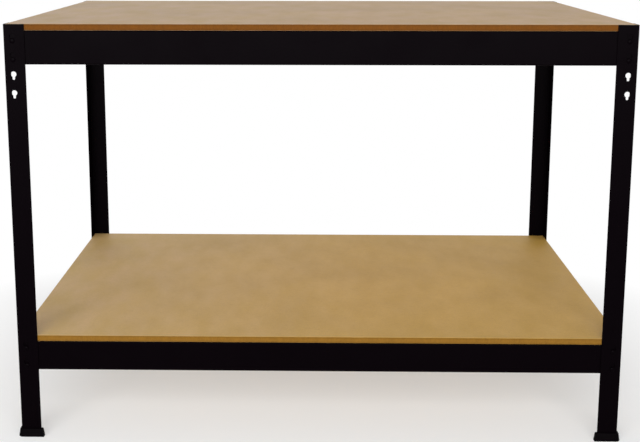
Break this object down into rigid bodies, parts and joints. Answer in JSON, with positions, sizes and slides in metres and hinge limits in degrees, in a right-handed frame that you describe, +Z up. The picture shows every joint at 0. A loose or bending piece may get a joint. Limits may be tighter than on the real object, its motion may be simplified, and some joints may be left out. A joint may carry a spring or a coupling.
{
  "type": "assembly table",
  "caption": "Free-standing assembly table: black folded steel angle posts and riveted beams on plastic feet carry a loose fibreboard worktop and a loose fibreboard shelf.",
  "frame": {"origin": "on the floor below the middle of the table, the middle of the square between the four feet", "axes": "+Z up, +X along the table's long side to the right of someone standing in front of it, +Y to the back"},
  "size_m": [1.212, 0.812, 0.832],
  "materials": {
    "black_paint": "black powder coat, satin",
    "rivet_steel": "black coated steel, satin",
    "foot_plastic": "black moulded plastic, matt",
    "fibreboard": "bare medium density fibreboard"
  },
  "bodies": {
    "frame": {"post_front_left": "black_paint", "post_front_right": "black_paint", "post_back_right": "black_paint", "post_back_left": "black_paint", "foot_front_left": "foot_plastic", "foot_front_right": "foot_plastic", "foot_back_right": "foot_plastic", "foot_back_left": "foot_plastic", "top_beam_front": "black_paint", "top_beam_right": "black_paint", "top_beam_back": "black_paint", "top_beam_left": "black_paint", "lower_beam_front": "black_paint", "lower_beam_right": "black_paint", "lower_beam_back": "black_paint", "lower_beam_left": "black_paint", "top_front_rivet_left_lower": "rivet_steel", "top_front_rivet_left_upper": "rivet_steel", "top_front_rivet_right_lower": "rivet_steel", "top_front_rivet_right_upper": "rivet_steel", "top_right_rivet_front_lower": "rivet_steel", "top_right_rivet_front_upper": "rivet_steel", "top_right_rivet_back_lower": "rivet_steel", "top_right_rivet_back_upper": "rivet_steel", "top_back_rivet_right_lower": "rivet_steel", "top_back_rivet_right_upper": "rivet_steel", "top_back_rivet_left_lower": "rivet_steel", "top_back_rivet_left_upper": "rivet_steel", "top_left_rivet_back_lower": "rivet_steel", "top_left_rivet_back_upper": "rivet_steel", "top_left_rivet_front_lower": "rivet_steel", "top_left_rivet_front_upper": "rivet_steel", "lower_front_rivet_left_lower": "rivet_steel", "lower_front_rivet_left_upper": "rivet_steel", "lower_front_rivet_right_lower": "rivet_steel", "lower_front_rivet_right_upper": "rivet_steel", "lower_right_rivet_front_lower": "rivet_steel", "lower_right_rivet_front_upper": "rivet_steel", "lower_right_rivet_back_lower": "rivet_steel", "lower_right_rivet_back_upper": "rivet_steel", "lower_back_rivet_right_lower": "rivet_steel", "lower_back_rivet_right_upper": "rivet_steel", "lower_back_rivet_left_lower": "rivet_steel", "lower_back_rivet_left_upper": "rivet_steel", "lower_left_rivet_back_lower": "rivet_steel", "lower_left_rivet_back_upper": "rivet_steel", "lower_left_rivet_front_lower": "rivet_steel", "lower_left_rivet_front_upper": "rivet_steel"},
    "worktop": {"worktop_board": "fibreboard"},
    "shelf": {"shelf_board": "fibreboard"}
  },
  "joints": [
    {"name": "worktop_lift", "type": "slide", "parent": "frame", "child": "worktop", "axis": [0, 0, 1], "range_m": [0, 0.04]},
    {"name": "shelf_lift", "type": "slide", "parent": "frame", "child": "shelf", "axis": [0, 0, 1], "range_m": [0, 0.5]}
  ]
}
